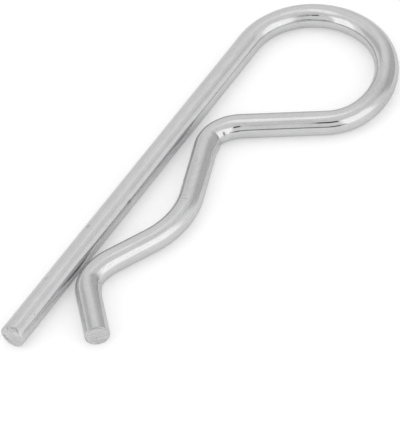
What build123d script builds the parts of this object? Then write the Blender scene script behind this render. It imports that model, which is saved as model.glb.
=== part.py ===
from build123d import *
import os

# Hitch R clip: one length of round spring wire, bent cold in one plane. Millimetres.
# The clip lies flat, with the underside of the wire at Z = 0 and the origin under its middle.
# X runs along the straight leg, from its sheared tip towards the eye.
# Y points from the springy arm to the leg.

# Wire
wire_diameter = 4.0
rim_radius = 0.25

# Leg, from the sheared tip to the eye. Every radius below is to the wire's centre line.
leg_length = 71.1

# Eye: wound round a mandrel, tighter where it leaves the leg and where it joins the run
eye_entry_radius = 11.4
eye_entry_turn = 66.0
eye_radius = 13.2
eye_turn = 129.1
eye_exit_radius = 8.5
eye_exit_turn = 45.5

# Run from the eye back to the leg
run_length = 13.9

# First hump: keeps the shaft from slipping into the eye
stop_hump_radius = 6.4
stop_hump_turn = 32.3
stop_nose_radius = 4.8
stop_nose_turn = 47.7

# Seat: hugs the outside of the shaft, between two straight flanks
inner_flank_length = 10.7
seat_radius = 14.1
seat_turn = 46.8
outer_flank_length = 7.2

# Second hump: bears on the shaft and snaps over it, sharpest at its nose
snap_hump_radius = 7.6
snap_hump_turn = 40.9
snap_nose_radius = 3.5
snap_nose_turn = 29.0

# Flared tail: leads the shaft in
tail_length = 9.2


def straight(previous, length):
    """A straight stretch that carries on from the previous one."""
    return Line(previous @ 1, previous @ 1 + (previous % 1) * length)


def bend(previous, radius, turn):
    """A bend that carries on from the previous stretch. A positive turn is towards the leg."""
    return JernArc(start=previous @ 1, tangent=previous % 1, radius=radius, arc_size=turn)


def centre_line():
    """The wire's centre line in the XY plane, from the leg's tip to the tail's tip."""
    with BuildLine() as line:
        leg = Line((0, 0), (leg_length, 0))
        eye = bend(leg, eye_entry_radius, -eye_entry_turn)
        eye = bend(eye, eye_radius, -eye_turn)
        eye = bend(eye, eye_exit_radius, -eye_exit_turn)
        run = straight(eye, run_length)
        stop_hump = bend(run, stop_hump_radius, stop_hump_turn)
        stop_hump = bend(stop_hump, stop_nose_radius, stop_nose_turn)
        flank = straight(stop_hump, inner_flank_length)
        seat = bend(flank, seat_radius, -seat_turn)
        flank = straight(seat, outer_flank_length)
        snap_hump = bend(flank, snap_hump_radius, snap_hump_turn)
        snap_hump = bend(snap_hump, snap_nose_radius, snap_nose_turn)
        straight(snap_hump, tail_length)
    return line.wire()


def clip_wire():
    """The whole clip as one solid, both sheared ends with a small rolled rim."""
    path = centre_line()
    section = Plane(origin=path @ 0, z_dir=path % 0) * Circle(wire_diameter / 2)
    wire = sweep(section, path=path)
    ends = wire.faces().filter_by(GeomType.PLANE)
    wire = fillet(ends.edges(), rim_radius)
    middle = wire.bounding_box().center()
    return Pos(-middle.X, -middle.Y, -middle.Z + wire_diameter / 2) * wire


os.makedirs("parts", exist_ok=True)
clip = clip_wire()
export_step(clip, "parts/clip_wire.step")
print("clip_wire", clip.bounding_box().size)
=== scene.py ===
import math
import bmesh
import bpy
from mathutils import Matrix, Vector, noise


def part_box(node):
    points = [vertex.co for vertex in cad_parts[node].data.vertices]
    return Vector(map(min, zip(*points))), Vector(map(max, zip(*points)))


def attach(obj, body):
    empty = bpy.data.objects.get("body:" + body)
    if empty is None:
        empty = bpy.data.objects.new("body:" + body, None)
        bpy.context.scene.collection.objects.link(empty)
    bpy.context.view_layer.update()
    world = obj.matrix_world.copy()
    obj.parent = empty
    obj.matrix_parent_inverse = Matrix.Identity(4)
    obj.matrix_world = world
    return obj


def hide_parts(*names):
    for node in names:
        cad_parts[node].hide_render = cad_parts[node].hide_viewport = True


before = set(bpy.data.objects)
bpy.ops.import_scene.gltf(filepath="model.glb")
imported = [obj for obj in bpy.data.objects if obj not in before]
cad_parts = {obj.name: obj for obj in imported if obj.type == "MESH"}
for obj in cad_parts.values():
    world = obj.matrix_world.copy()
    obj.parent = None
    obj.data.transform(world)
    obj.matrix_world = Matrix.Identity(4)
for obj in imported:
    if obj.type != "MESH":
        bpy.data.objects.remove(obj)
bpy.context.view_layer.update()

mm = 0.001
up = Vector((0, 0, 1))

# The wire, bent in one plane. Lengths in millimetres, turns in degrees. Going along it from the leg's
# tip, a turn to the left is positive, a station is the distance so far, and an angle goes round the
# wire, from its left side upwards.
wire = {
    "radius": 2.0,
    "rim": 0.25,
    "segments": 112,
    "rimRings": 5,
    "faceRings": 22,
    "weld": 0.002,
    "stretches": [  # name, length or radius, turn (0 is straight), distance between rings
        ("leg", 70.85, 0, 0.3),
        ("eyeEntry", 11.4, -66.0, 0.4),
        ("eye", 13.2, -129.1, 0.4),
        ("eyeExit", 8.5, -45.5, 0.35),
        ("run", 13.9, 0, 0.35),
        ("stopHump", 6.4, 32.3, 0.14),
        ("stopNose", 4.8, 47.7, 0.08),
        ("innerFlank", 10.7, 0, 0.25),
        ("seat", 14.1, -46.8, 0.2),
        ("outerFlank", 7.2, 0, 0.2),
        ("snapHump", 7.6, 40.9, 0.12),
        ("snapNose", 3.5, 29.0, 0.08),
        ("tail", 8.95, 0, 0.2),
    ],

    # what the tools left: station, angle, reach along and round the wire, height (less than nothing
    # is a dent), and how far it darkens the colour; in the creases and the pit at 138.45 that is painted
    # shade
    "swellings": [
        (79.5, 148, 2.4, 1.2, 0.06, 0),
        (84.5, 148, 2.4, 1.2, -0.05, 0),
        (119.0, 45, 3.2, 2.0, -0.08, 0),
        (136.3, 0, 2.6, 2.6, 0.13, 0),
        (140.1, 44, 1.6, 1.1, -0.12, 0),
        (141.7, -5, 1.7, 2.4, 0.25, 0),
        (172.9, 0, 1.8, 2.2, 0.10, 0),
        (176.25, 56, 1.8, 1.1, -0.17, 0),
        (178.1, 0, 1.6, 2.4, 0.24, 0),
        (1.45, 130, 0.8, 0.5, 0.06, 0),
    ],
    # the creases' darkening is painted shade, a dark line along each crease
    "creases": [
        (140.20, -2, 0.16, 0.8, -0.05, 0.30),
        (140.20, 22, 0.15, 0.8, -0.05, 0.42),
        (140.05, 44, 0.14, 0.7, -0.04, 0.38),
        (139.45, 42, 0.10, 1.0, -0.012, 0.14),
        (138.95, 44, 0.09, 0.8, -0.010, 0.10),
        (176.35, 22, 0.09, 0.6, -0.020, 0.15),
        (176.80, 12, 0.11, 0.9, -0.030, 0.15),
        (177.35, 6, 0.10, 0.8, -0.030, 0.15),
    ],
    "nicks": [
        # the darkening of this pit is painted shade
        (138.45, 30, 0.42, 0.36, -0.05, 1.0),
        (150.90, 27, 0.50, 0.12, -0.03, 0.30),
        (154.70, 113, 0.16, 0.55, -0.02, 0.14),
        (155.40, 97, 0.18, 0.50, -0.03, 0.20),
        (156.20, 110, 0.16, 0.40, -0.02, 0.14),
        (23.2, 66, 0.34, 0.22, -0.01, 0.6),
        (11.2, 68, 0.35, 0.16, -0.01, 0.4),
        (31.2, 151, 0.55, 0.16, -0.02, 0.5),
    ],
    "stains": [
        (110.5, 55, 5.0, 5.0, 0, 0.13),
    ],
    "markTaper": 2,  # a mark falls off this much faster along the wire than round it
    "markSpan": 2.2,  # and is left out beyond this many reaches along it

    # where mandrel and pins rubbed the plate: first and last station, angle, amount (less than
    # nothing is duller than the rest)
    "burnished": [
        (80.3, 82.6, 132, -0.7),
        (83.6, 122, 180, 0.9),
        (117, 139.8, 0, 1.0),
        (163, 174, 10, 0.75),
    ],
    "burnishFade": 1.8,  # length over which it comes in at either end
    "burnishWrap": 1.5,  # how far it goes round the wire

    # each sheared end: roughness of the cut, a chip in its edge (angle, reach round, depth), and
    # marks on it (angle, distance from its middle, reach round and across, depth, darkening); the
    # darkening is painted shade, in lines, dashes and a ring at the rim for the shade of the burr
    "legTip": {
        "rough": 0.020,
        "seed": 3.0,
        "chip": (110, 1.0, 0.80),
        "marks": [
            (123, 1.84, 0.42, 0.16, 0.07, 0.85),
            (74, 1.92, 0.25, 0.30, 0.12, 0.50),
            (-13, 1.40, 0.26, 0.15, 0.05, 0.80),
            (-40, 1.22, 0.32, 0.14, 0.05, 0.70),
            (-64, 1.26, 0.45, 0.12, 0.04, 0.45),
            # a dark ring round the rim, painted shade of the burr
            (60, 1.97, 3.0, 0.10, 0.0, 0.30),
            (60, 1.30, 0.60, 0.12, 0.03, 0.15),
        ],
    },
    "tailTip": {
        "rough": 0.026,
        "seed": 9.0,
        "chip": (80, 1.2, 0.08),
        "marks": [
            # dark lines along the rim, painted shade of the burr
            (78, 1.84, 1.30, 0.12, 0.04, 0.45),
            (85, 1.98, 2.60, 0.12, 0.0, 0.40),
            (190, 1.84, 0.90, 0.12, 0.03, 0.35),
            (-100, 1.15, 0.55, 0.10, 0.06, 0.40),
            (-78, 1.35, 0.25, 0.16, -0.04, 0.0),
            (-60, 1.82, 0.60, 0.14, 0.03, 0.30),
        ],
    },
    "chipLength": 2.5,  # how far the chip runs up the wire
    "cutLength": 0.5,  # how far the marks do
    "cutSlope": 0.35,  # a step up the wire counts as this much of a step out across the cut
    "tear": [  # waves in the cut: height, waves across and upwards in a millimetre, seed
        (1.0, 0.8, 5.0, 0),
        (0.5, 2.5, 11.0, 4),
    ],
}


def ringParts(geometry):
    verts = [g for g in geometry if isinstance(g, bmesh.types.BMVert)]
    fresh = set(verts)
    edges = [g for g in geometry if isinstance(g, bmesh.types.BMEdge) and set(g.verts) <= fresh]
    return verts, edges


def leftOf(heading):
    return Vector((-heading.y, heading.x, 0))


def startRing(centre, heading):
    # a new mesh with one ring of points square to the wire
    bm = bmesh.new()
    layer = bm.verts.layers.float_vector.new("drawn")
    side = leftOf(heading)
    turned = Matrix((side, up, side.cross(up))).transposed().to_4x4()
    made = bmesh.ops.create_circle(bm, cap_ends=False, segments=wire["segments"], radius=wire["radius"],
                                   matrix=Matrix.Translation(centre) @ turned)
    return bm, layer, made["verts"], bm.edges[:]


def labelRing(verts, layer, station, centre, heading):
    # each point remembers its place on the straight wire, before it was bent
    left = leftOf(heading)
    for v in verts:
        out = v.co - centre
        v[layer] = Vector((station, out.dot(left), out.z))


def addPart(whole, part):
    mesh = bpy.data.meshes.new("part")
    part.to_mesh(mesh)
    part.free()
    whole.from_mesh(mesh)
    bpy.data.meshes.remove(mesh)


def bendWire(whole):
    heading, centre, station = Vector((1, 0, 0)), Vector((wire["rim"], 0, 0)), wire["rim"]
    for _, size, turn, spacing in wire["stretches"]:
        bm, layer, verts, edges = startRing(centre, heading)
        labelRing(verts, layer, station, centre, heading)
        length = size if turn == 0 else size * math.radians(abs(turn))
        steps = max(1, round(length / spacing))
        stride = length / steps
        pivot = centre + leftOf(heading) * math.copysign(size, turn)
        stepTurn = Matrix.Rotation(math.radians(turn) / steps, 3, "Z")
        for _ in range(steps):
            verts, edges = ringParts(bmesh.ops.extrude_edge_only(bm, edges=edges)["geom"])
            if turn == 0:
                bmesh.ops.translate(bm, verts=verts, vec=heading * stride)
                centre = centre + heading * stride
            else:
                bmesh.ops.rotate(bm, verts=verts, cent=pivot, matrix=stepTurn)
                centre = pivot + stepTurn @ (centre - pivot)
                heading = stepTurn @ heading
            station += stride
            labelRing(verts, layer, station, centre, heading)
        addPart(whole, bm)
    return centre, heading, station


def shearEnd(whole, centre, outward, heading, station):
    # a small rolled rim, then the cut face in rings down to its middle
    rim, r = wire["rim"], wire["radius"]
    bm, layer, verts, edges = startRing(centre, heading)
    labelRing(verts, layer, station, centre, heading)
    sign = outward.dot(heading)
    quarter = [math.radians(90 * k / wire["rimRings"]) for k in range(1, wire["rimRings"] + 1)]
    profile = [(r - rim * (1 - math.cos(a)), rim * math.sin(a)) for a in quarter]
    profile += [((r - rim) * (1 - k / wire["faceRings"]), rim) for k in range(1, wire["faceRings"])]
    reachNow, depthNow = r, 0.0
    for count, (reach, depth) in enumerate(profile):
        verts, edges = ringParts(bmesh.ops.extrude_edge_only(bm, edges=edges)["geom"])
        bmesh.ops.scale(bm, verts=verts, vec=Vector((1, 1, 1)) * (reach / reachNow),
                        space=Matrix.Translation(-centre - outward * depthNow))
        bmesh.ops.translate(bm, verts=verts, vec=outward * (depth - depthNow))
        reachNow, depthNow = reach, depth
        labelRing(verts, layer, station + sign * depth, centre + outward * depth, heading)
        if count >= wire["rimRings"]:
            for f in {f for v in verts for f in v.link_faces}:
                f.material_index = 1
    bmesh.ops.pointmerge(bm, verts=verts, merge_co=centre + outward * depthNow)
    addPart(whole, bm)


def angleBetween(first, second):
    return math.radians((first - second + 180) % 360 - 180)


def markEnd(bm, layers, name, tip, outward):
    # the blade's marks, pushed in along the wire and fading away from the cut, with their painted shade at
    # the rim
    cut, r = wire[name], wire["radius"]
    grimeAndShade = layers["grimeAndShade"]
    chipAngle, chipReach, chipDepth = cut["chip"]
    for v in bm.verts:
        along, side, rise = v[layers["drawn"]]
        away = abs(along - tip)
        if away > wire["chipLength"]:
            continue
        angle, across = math.degrees(math.atan2(rise, side)), math.hypot(side, rise)
        around = angleBetween(angle, chipAngle) * r / chipReach
        fade = (1 - away / wire["chipLength"]) ** 2
        push = chipDepth * math.exp(-around * around) * min(1, across / r) ** 2 * fade
        near = max(0.0, 1 - away / wire["cutLength"])
        if near > 0:
            for turn, distance, reachRound, reachAcross, depth, dirtAndShade in cut["marks"]:
                around = angleBetween(angle, turn) * across / reachRound
                beyond = (across - distance + wire["cutSlope"] * away) / reachAcross
                share = near * math.exp(-around * around - beyond * beyond)
                push += depth * share
                v[grimeAndShade] = max(v[grimeAndShade], dirtAndShade * share)
            grain = sum(height * noise.noise(Vector((side * sideways, rise * upwards, cut["seed"] + seed)))
                        for height, sideways, upwards, seed in wire["tear"])
            push += cut["rough"] * (grain + 1) * max(0, 1 - away / wire["rim"])
        v.co -= outward * push


def markWire(bm, layers):
    # swellings, creases, nicks and stains, with their darkening (painted shade in the creases and the pit
    # at 138.45), and how far each point is burnished
    r = wire["radius"]
    marks = wire["swellings"] + wire["creases"] + wire["nicks"] + wire["stains"]
    for v in bm.verts:
        station, side, rise = v[layers["drawn"]]
        angle = math.degrees(math.atan2(rise, side))
        push, dirtAndShade = 0.0, 0.0
        for at, turn, along, around, height, grimeAndShade in marks:
            away = abs(station - at) / along
            if away > wire["markSpan"]:
                continue
            beside = angleBetween(angle, turn) * r / around
            share = math.exp(-wire["markTaper"] * away * away - beside * beside)
            push += height * share
            dirtAndShade = max(dirtAndShade, grimeAndShade * share)
        if push:  # a swelling goes sideways only, so that the wire still lies flat
            v.co += Vector((v.normal.x, v.normal.y, v.normal.z if push < 0 else 0)) * push
        v[layers["grimeAndShade"]] = dirtAndShade
        smooth = 0.0
        for first, last, turn, amount in wire["burnished"]:
            inside = min(station - first, last - station)
            within = min(1, max(0, inside / wire["burnishFade"] + 0.5))
            facing = 0.5 + 0.5 * math.cos(math.radians(angle - turn))
            smooth += amount * within * within * (3 - 2 * within) * min(1, wire["burnishWrap"] * facing)
        v[layers["burnish"]] = min(1, smooth)


def makeWire():
    bm = bmesh.new()
    centre, heading, station = bendWire(bm)
    startHeading = Vector((1, 0, 0))
    shearEnd(bm, startHeading * wire["rim"], -startHeading, startHeading, wire["rim"])
    shearEnd(bm, centre, heading, heading, station)
    bmesh.ops.remove_doubles(bm, verts=bm.verts, dist=wire["weld"])
    bmesh.ops.recalc_face_normals(bm, faces=bm.faces)
    bm.normal_update()
    print("wire bent and sheared,", round(station + wire["rim"], 2), "mm long")
    bm.verts.layers.float.new("burnish")
    bm.verts.layers.float.new("grimeAndShade")  # all are looked up only now, as a new layer moves the others
    layers = {name: bm.verts.layers.float[name] for name in ("burnish", "grimeAndShade")}
    layers["drawn"] = bm.verts.layers.float_vector["drawn"]
    markWire(bm, layers)
    markEnd(bm, layers, "legTip", 0.0, -startHeading)
    markEnd(bm, layers, "tailTip", station + wire["rim"], heading)
    low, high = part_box("clip_wire")  # laid where the solid one lies
    reach = wire["radius"] * mm
    start = Vector((low.x, high.y - reach, low.z + reach))
    bmesh.ops.scale(bm, verts=bm.verts, vec=Vector((mm, mm, mm)))
    bmesh.ops.translate(bm, verts=bm.verts, vec=start)
    for f in bm.faces:
        f.smooth = True
    print("open edges", sum(1 for e in bm.edges if not e.is_manifold),
          "lowest", min(v.co.z for v in bm.verts))
    mesh = bpy.data.meshes.new("springWire")
    bm.to_mesh(mesh)
    bm.free()
    piece = bpy.data.objects.new("springWire", mesh)
    bpy.context.scene.collection.objects.link(piece)
    return piece


def newMaterial(name):
    material = bpy.data.materials.new(name)
    material.use_nodes = True
    return material, material.node_tree.nodes, material.node_tree.links


def newGroup(name, inputs, outputs):
    group = bpy.data.node_groups.new(name, "ShaderNodeTree")
    for way, sockets in (("INPUT", inputs), ("OUTPUT", outputs)):
        for socket, kind in sockets:
            group.interface.new_socket(name=socket, in_out=way, socket_type="NodeSocket" + kind)
    nodes = group.nodes
    return group, nodes, group.links, nodes.new("NodeGroupInput"), nodes.new("NodeGroupOutput")


def fed(links, socket, value):
    # a number or a colour is set on the socket, an output is linked to it
    if isinstance(value, bpy.types.NodeSocket):
        links.new(value, socket)
    else:
        socket.default_value = value


def maths(nodes, links, operation, first, second=None):
    node = nodes.new("ShaderNodeMath")
    node.operation = operation
    fed(links, node.inputs[0], first)
    if second is not None:
        fed(links, node.inputs[1], second)
    return node.outputs[0]


def ranged(nodes, links, value, low, high, toLow, toHigh):
    ramp = nodes.new("ShaderNodeMapRange")
    fed(links, ramp.inputs["Value"], value)
    for socket, number in zip(("From Min", "From Max", "To Min", "To Max"), (low, high, toLow, toHigh)):
        ramp.inputs[socket].default_value = number
    return ramp.outputs["Result"]


def mixed(nodes, links, factor, first, second):
    mix = nodes.new("ShaderNodeMix")
    mix.data_type = "RGBA"
    fed(links, mix.inputs["Factor"], factor)
    fed(links, mix.inputs[6], first)  # A, B and Result have one socket for each kind: these are colour
    fed(links, mix.inputs[7], second)
    return mix.outputs[2]


def bumped(nodes, links, height, depth, normal=None):
    # depth in thousandths of a millimetre
    bump = nodes.new("ShaderNodeBump")
    bump.inputs["Strength"].default_value = 1
    bump.inputs["Distance"].default_value = depth * 0.001 * mm
    links.new(height, bump.inputs["Height"])
    if normal is not None:
        links.new(normal, bump.inputs["Normal"])
    return bump.outputs["Normal"]


def attributeOf(nodes, name):
    node = nodes.new("ShaderNodeAttribute")
    node.attribute_name = name
    return node


def grainGroup():
    # noise laid along the drawn wire, in grains of a given size in millimetres
    group, nodes, links, given, result = newGroup(
        "wireGrain", (("Size", "Vector"), ("Shift", "Vector"), ("Detail", "Float")),
        (("Height", "Float"), ("Place", "Vector")))
    place = nodes.new("ShaderNodeVectorMath")
    place.operation = "DIVIDE"
    links.new(attributeOf(nodes, "drawn").outputs["Vector"], place.inputs[0])
    links.new(given.outputs["Size"], place.inputs[1])
    shifted = nodes.new("ShaderNodeVectorMath")
    shifted.operation = "ADD"
    links.new(place.outputs[0], shifted.inputs[0])
    links.new(given.outputs["Shift"], shifted.inputs[1])
    texture = nodes.new("ShaderNodeTexNoise")
    texture.inputs["Scale"].default_value = 1
    links.new(shifted.outputs[0], texture.inputs["Vector"])
    links.new(given.outputs["Detail"], texture.inputs["Detail"])
    links.new(texture.outputs["Fac"], result.inputs["Height"])
    links.new(shifted.outputs[0], result.inputs["Place"])
    return group


wireGrain = grainGroup()


def grainOf(nodes, size, shift, detail=2.0):
    node = nodes.new("ShaderNodeGroup")
    node.node_tree = wireGrain
    node.inputs["Size"].default_value = size
    node.inputs["Shift"].default_value = (shift, shift, shift)
    node.inputs["Detail"].default_value = detail
    return node.outputs


# Bright plate over drawn wire. Grain sizes in millimetres, depths in thousandths of one.
plate = {
    "colour": (0.60, 0.60, 0.605, 1),
    "dull": (0.525, 0.525, 0.53, 1),
    # dark colour for specks, grime and the painted shade of creases, the pit and the cut's rim
    "grimeAndShade": (0.10, 0.10, 0.105, 1),
    "edge": (0.8, 0.8, 0.8, 1),  # tint at a grazing angle
    "satin": 0.18,  # roughness as drawn and plated
    "burnished": 0.05,  # roughness where the tools rubbed
    "uneven": 0.02,  # and how far the streaks change it
    "unevenRange": (0.3, 0.7),  # the part of their noise that does
    "streak": (1.6, 0.13, 0.13),
    "streakDepth": 0.35,
    "streakTone": 0.30,
    "peel": (0.4, 0.3, 0.3),
    "peelDepth": 0.5,
    "cloud": (2.4, 1.2, 1.2),
    "cloudTone": 0.35,
    "mottle": (0.38, 0.24, 0.24),
    "mottleTone": 0.35,
    "toneRange": (0.35, 0.65),  # the part of each noise that shows as a tone
    "speck": (1.9, 1.3, 1.3),
    "speckRare": (0.86, 0.92),  # of the draws from 0 to 1, the ones above this get a speck
    "speckGrime": 0.5,
    "speckSize": (0.05, 0.11),  # its dark middle and its edge, as shares of the grain
}


def platedWire():
    material, nodes, links = newMaterial("platedWire")
    shader = nodes["Principled BSDF"]
    shader.inputs["Metallic"].default_value = 1
    shader.inputs["Specular Tint"].default_value = plate["edge"]
    cloud = grainOf(nodes, plate["cloud"], shift=5, detail=3)["Height"]
    streak = grainOf(nodes, plate["streak"], shift=1, detail=3)["Height"]
    mottle = grainOf(nodes, plate["mottle"], shift=3)["Height"]
    peel = grainOf(nodes, plate["peel"], shift=9, detail=3)["Height"]

    def toneOf(height, share):
        return ranged(nodes, links, height, *plate["toneRange"], 0, plate[share])

    # colour: a faint cloudiness, lengthwise streaks and mottling, rare specks, and the marks' grime and
    # painted shade
    tone = maths(nodes, links, "ADD", toneOf(cloud, "cloudTone"), toneOf(streak, "streakTone"))
    tone = maths(nodes, links, "ADD", tone, toneOf(mottle, "mottleTone"))
    colour = mixed(nodes, links, tone, plate["dull"], plate["colour"])
    speck = nodes.new("ShaderNodeTexVoronoi")
    speck.inputs["Scale"].default_value = 1
    links.new(grainOf(nodes, plate["speck"], shift=2.5)["Place"], speck.inputs["Vector"])
    chosen = nodes.new("ShaderNodeSeparateColor")
    links.new(speck.outputs["Color"], chosen.inputs["Color"])
    rare = ranged(nodes, links, chosen.outputs["Red"], *plate["speckRare"], 0, plate["speckGrime"])
    spot = ranged(nodes, links, speck.outputs["Distance"], *plate["speckSize"], 1, 0)
    spot = maths(nodes, links, "MULTIPLY", rare, spot)
    dirtAndShade = maths(nodes, links, "MAXIMUM", spot, attributeOf(nodes, "grimeAndShade").outputs["Fac"])
    links.new(mixed(nodes, links, dirtAndShade, colour, plate["grimeAndShade"]), shader.inputs["Base Color"])

    # finish: satin as drawn and plated, smoother where the tools rubbed, rougher in the dull patch
    smooth = attributeOf(nodes, "burnish").outputs["Fac"]
    satin = ranged(nodes, links, smooth, 0, 1, plate["satin"], plate["burnished"])
    satin.node.clamp = False
    uneven = ranged(nodes, links, streak, *plate["unevenRange"], -plate["uneven"], plate["uneven"])
    links.new(maths(nodes, links, "ADD", satin, uneven), shader.inputs["Roughness"])
    normal = bumped(nodes, links, streak, plate["streakDepth"])
    normal = bumped(nodes, links, peel, plate["peelDepth"], normal)
    links.new(normal, shader.inputs["Normal"])
    return material


# The torn metal of both cut faces, in the same units
shearFinish = {
    "colour": (0.62, 0.62, 0.625, 1),
    "dark": (0.45, 0.45, 0.455, 1),
    "lines": (3.0, 2.2, 0.14),
    "grain": (0.25, 0.25, 0.25),
    "darkRange": (0.38, 0.6),  # the heights between which it goes from dark to light
    "depth": 10,
    "rough": 0.36,
}


def cutSteel():
    material, nodes, links = newMaterial("cutSteel")
    shader = nodes["Principled BSDF"]
    shader.inputs["Metallic"].default_value = 1
    shader.inputs["Roughness"].default_value = shearFinish["rough"]
    lines = grainOf(nodes, shearFinish["lines"], shift=3)["Height"]
    grain = grainOf(nodes, shearFinish["grain"], shift=7)["Height"]
    both = maths(nodes, links, "MULTIPLY", maths(nodes, links, "ADD", lines, grain), 0.5)
    torn = ranged(nodes, links, both, *shearFinish["darkRange"], 0, 1)
    colour = mixed(nodes, links, torn, shearFinish["dark"], shearFinish["colour"])
    # the marks' darkening here is painted shade of the burr at the rim
    dirtAndShade = attributeOf(nodes, "grimeAndShade").outputs["Fac"]
    links.new(mixed(nodes, links, dirtAndShade, colour, plate["grimeAndShade"]), shader.inputs["Base Color"])
    links.new(bumped(nodes, links, both, shearFinish["depth"]), shader.inputs["Normal"])
    return material


# The studio. Each patch of sky: azimuth, elevation, half width, half height, soft edge, strength.
studio = {
    "sky": 0.99,
    "patches": {
        "overhead": (75, 80, 14, 12, 13, 1.38),
        "backHigh": (14, 60, 8, 6, 9, 1.17),
        "backLow": (37, 45, 9, 6, 9, 1.05),
        "leftHigh": (89, 62, 8, 6, 10, 1.14),
        "frontHigh": (-159, 62, 18, 12, 15, 0.9),
        "rightWing": (-65, 22, 17, 22, 10, 1.12),
        "rightBox": (-99, 27, 26, 24, 9, 1.54),
        "leftWing": (127, 24, 10, 20, 12, 1.15),
        "leftBox": (149.8, 25, 15, 24, 6, 1.52),
        "rightSlope": (-1, 18, 16, 26, 24, 0.84),
        "rightGap": (-21, 19, 22, 26, 16, 0.68),
        "leftGap": (91, 31, 22, 12, 14, 0.73),
        "leftLow": (82, 3, 12, 4, 4, 1.22),
        "lowBandLeft": (-173, 5, 15, 6, 6, 0.64),
        "lowBand": (-144, 5, 13, 6, 5, 0.36),
        "lowDark": (-134, 9, 10, 2.6, 3, 0.05),
        "standGap": (-167.4, 45, 6.8, 5.5, 3, 0.18),
        "lensGap": (-142.2, 47.5, 7.8, 5.2, 3, 0.03),
    },
    "floorSize": 6,  # metres, from the middle to an edge
    "floorColour": 0.70,
    "floorGlow": 0.35,
    "floorInMetal": 1.0,  # its colour and its glow as the metal mirrors them
    "floorGlowInMetal": 0.05,
    "floorGlowTwice": 0.80,  # more glow, by way of a second reflection
    "floorContact": (0.1, 0.9),  # millimetres above the floor over which that comes in
}

patchShape = ("Azimuth", "Elevation", "Half Width", "Half Height", "Softness")


def patchGroup():
    # mask of a soft-edged patch of sky round a direction; angles in radians
    group, nodes, links, given, result = newGroup(
        "skyPatch", [(name, "Float") for name in patchShape] + [("Direction", "Vector")],
        [("Mask", "Float")])

    def sums(operation, first, second=None):
        return maths(nodes, links, operation, first, second)

    split = nodes.new("ShaderNodeSeparateXYZ")
    links.new(given.outputs["Direction"], split.inputs[0])
    x, y, z = split.outputs
    flat = sums("SQRT", sums("ADD", sums("MULTIPLY", x, x), sums("MULTIPLY", y, y)))
    turn = sums("SUBTRACT", sums("ARCTAN2", y, x), given.outputs["Azimuth"])
    whole = sums("ROUND", sums("DIVIDE", turn, 2 * math.pi))
    turn = sums("SUBTRACT", turn, sums("MULTIPLY", whole, 2 * math.pi))
    sideways = sums("ABSOLUTE", sums("MULTIPLY", turn, sums("COSINE", given.outputs["Elevation"])))
    rise = sums("SUBTRACT", sums("ARCTAN2", z, flat), given.outputs["Elevation"])
    masks = []
    for offset, half in ((sideways, "Half Width"), (sums("ABSOLUTE", rise), "Half Height")):
        beyond = sums("DIVIDE", sums("SUBTRACT", offset, given.outputs[half]), given.outputs["Softness"])
        edge = ranged(nodes, links, beyond, -0.5, 0.5, 1, 0)
        edge.node.interpolation_type = "SMOOTHSTEP"
        masks.append(edge)
    links.new(sums("MULTIPLY", *masks), result.inputs["Mask"])
    return group


def makeSky():
    world = bpy.data.worlds.new("studio")
    bpy.context.scene.world = world
    world.use_nodes = True
    nodes, links = world.node_tree.nodes, world.node_tree.links
    background = nodes["Background"]
    direction = nodes.new("ShaderNodeTexCoord").outputs["Generated"]
    group = patchGroup()
    level = studio["sky"]
    for name, (*angles, strength) in studio["patches"].items():
        patch = nodes.new("ShaderNodeGroup")
        patch.node_tree = group
        patch.label = name
        for socket, value in zip(patchShape, angles):
            patch.inputs[socket].default_value = math.radians(value)
        links.new(direction, patch.inputs["Direction"])
        mix = nodes.new("ShaderNodeMix")
        links.new(patch.outputs["Mask"], mix.inputs["Factor"])
        fed(links, mix.inputs["A"], level)
        mix.inputs["B"].default_value = strength
        level = mix.outputs["Result"]
    # the camera sees plain white behind the floor
    seen = nodes.new("ShaderNodeMix")
    links.new(nodes.new("ShaderNodeLightPath").outputs["Is Camera Ray"], seen.inputs["Factor"])
    links.new(level, seen.inputs["A"])
    seen.inputs["B"].default_value = 1
    links.new(seen.outputs["Result"], background.inputs["Strength"])
    background.inputs["Color"].default_value = (1, 1, 1, 1)


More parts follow.
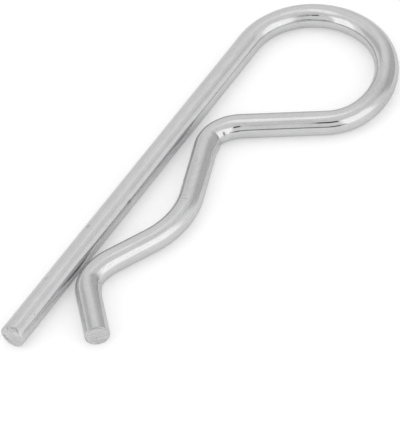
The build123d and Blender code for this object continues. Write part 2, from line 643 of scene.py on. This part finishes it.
def makeFloor():
    bm = bmesh.new()
    bmesh.ops.create_grid(bm, x_segments=1, y_segments=1, size=studio["floorSize"])
    mesh = bpy.data.meshes.new("floor")
    bm.to_mesh(mesh)
    bm.free()
    floor = bpy.data.objects.new("floor", mesh)
    bpy.context.scene.collection.objects.link(floor)
    material, nodes, links = newMaterial("paleFloor")
    nodes.remove(nodes["Principled BSDF"])
    paper = nodes.new("ShaderNodeBsdfDiffuse")
    glow = nodes.new("ShaderNodeEmission")
    path = nodes.new("ShaderNodeLightPath")
    inMetal = path.outputs["Is Glossy Ray"]
    plain, bright = [(studio[name],) * 3 + (1,) for name in ("floorColour", "floorInMetal")]
    links.new(mixed(nodes, links, inMetal, plain, bright), paper.inputs["Color"])

    # glow: for the camera, for the metal, and more where one side of the wire mirrors the floor in
    # another, except just above the floor, where the contact stays dark
    twice = maths(nodes, links, "GREATER_THAN", path.outputs["Glossy Depth"], 1.5)
    extra = maths(nodes, links, "MULTIPLY", twice, studio["floorGlowTwice"])
    contact = [distance * mm for distance in studio["floorContact"]]
    clear = ranged(nodes, links, path.outputs["Ray Length"], *contact, 0, 1)
    extra = maths(nodes, links, "MULTIPLY", extra, clear)
    mirrored = maths(nodes, links, "ADD", extra, studio["floorGlowInMetal"])
    mirrored = maths(nodes, links, "MULTIPLY", inMetal, mirrored)
    seen = maths(nodes, links, "MULTIPLY", path.outputs["Is Camera Ray"], studio["floorGlow"])
    links.new(maths(nodes, links, "ADD", seen, mirrored), glow.inputs["Strength"])
    both = nodes.new("ShaderNodeAddShader")
    links.new(paper.outputs[0], both.inputs[0])
    links.new(glow.outputs[0], both.inputs[1])
    links.new(both.outputs[0], nodes["Material Output"].inputs["Surface"])
    mesh.materials.append(material)


# Lens in millimetres on the usual film, place and aim in millimetres, roll in degrees, clip in metres
camera = {
    "lens": 224.56,
    "place": (-226.5, -171.7, 312.3),
    "aim": (-7.08, 0.25, 2.0),
    "roll": -8.53,
    "clip": (0.01, 20),
}


def makeCamera():
    data = bpy.data.cameras.new("camera")
    data.lens = camera["lens"]
    data.clip_start, data.clip_end = camera["clip"]
    holder = bpy.data.objects.new("camera", data)
    bpy.context.scene.collection.objects.link(holder)
    place, aim = Vector(camera["place"]) * mm, Vector(camera["aim"]) * mm
    look = (aim - place).to_track_quat("-Z", "Y").to_matrix().to_4x4()
    roll = Matrix.Rotation(math.radians(camera["roll"]), 4, "Z")
    holder.matrix_world = Matrix.Translation(place) @ look @ roll
    bpy.context.scene.camera = holder


bpy.context.scene.view_settings.view_transform = "Standard"
makeCamera()
makeSky()
makeFloor()
print("studio ready")

clip = makeWire()
clip.data.materials.append(platedWire())
clip.data.materials.append(cutSteel())
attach(clip, "root")
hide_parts("clip_wire")
print("wire made,", len(clip.data.polygons), "faces")
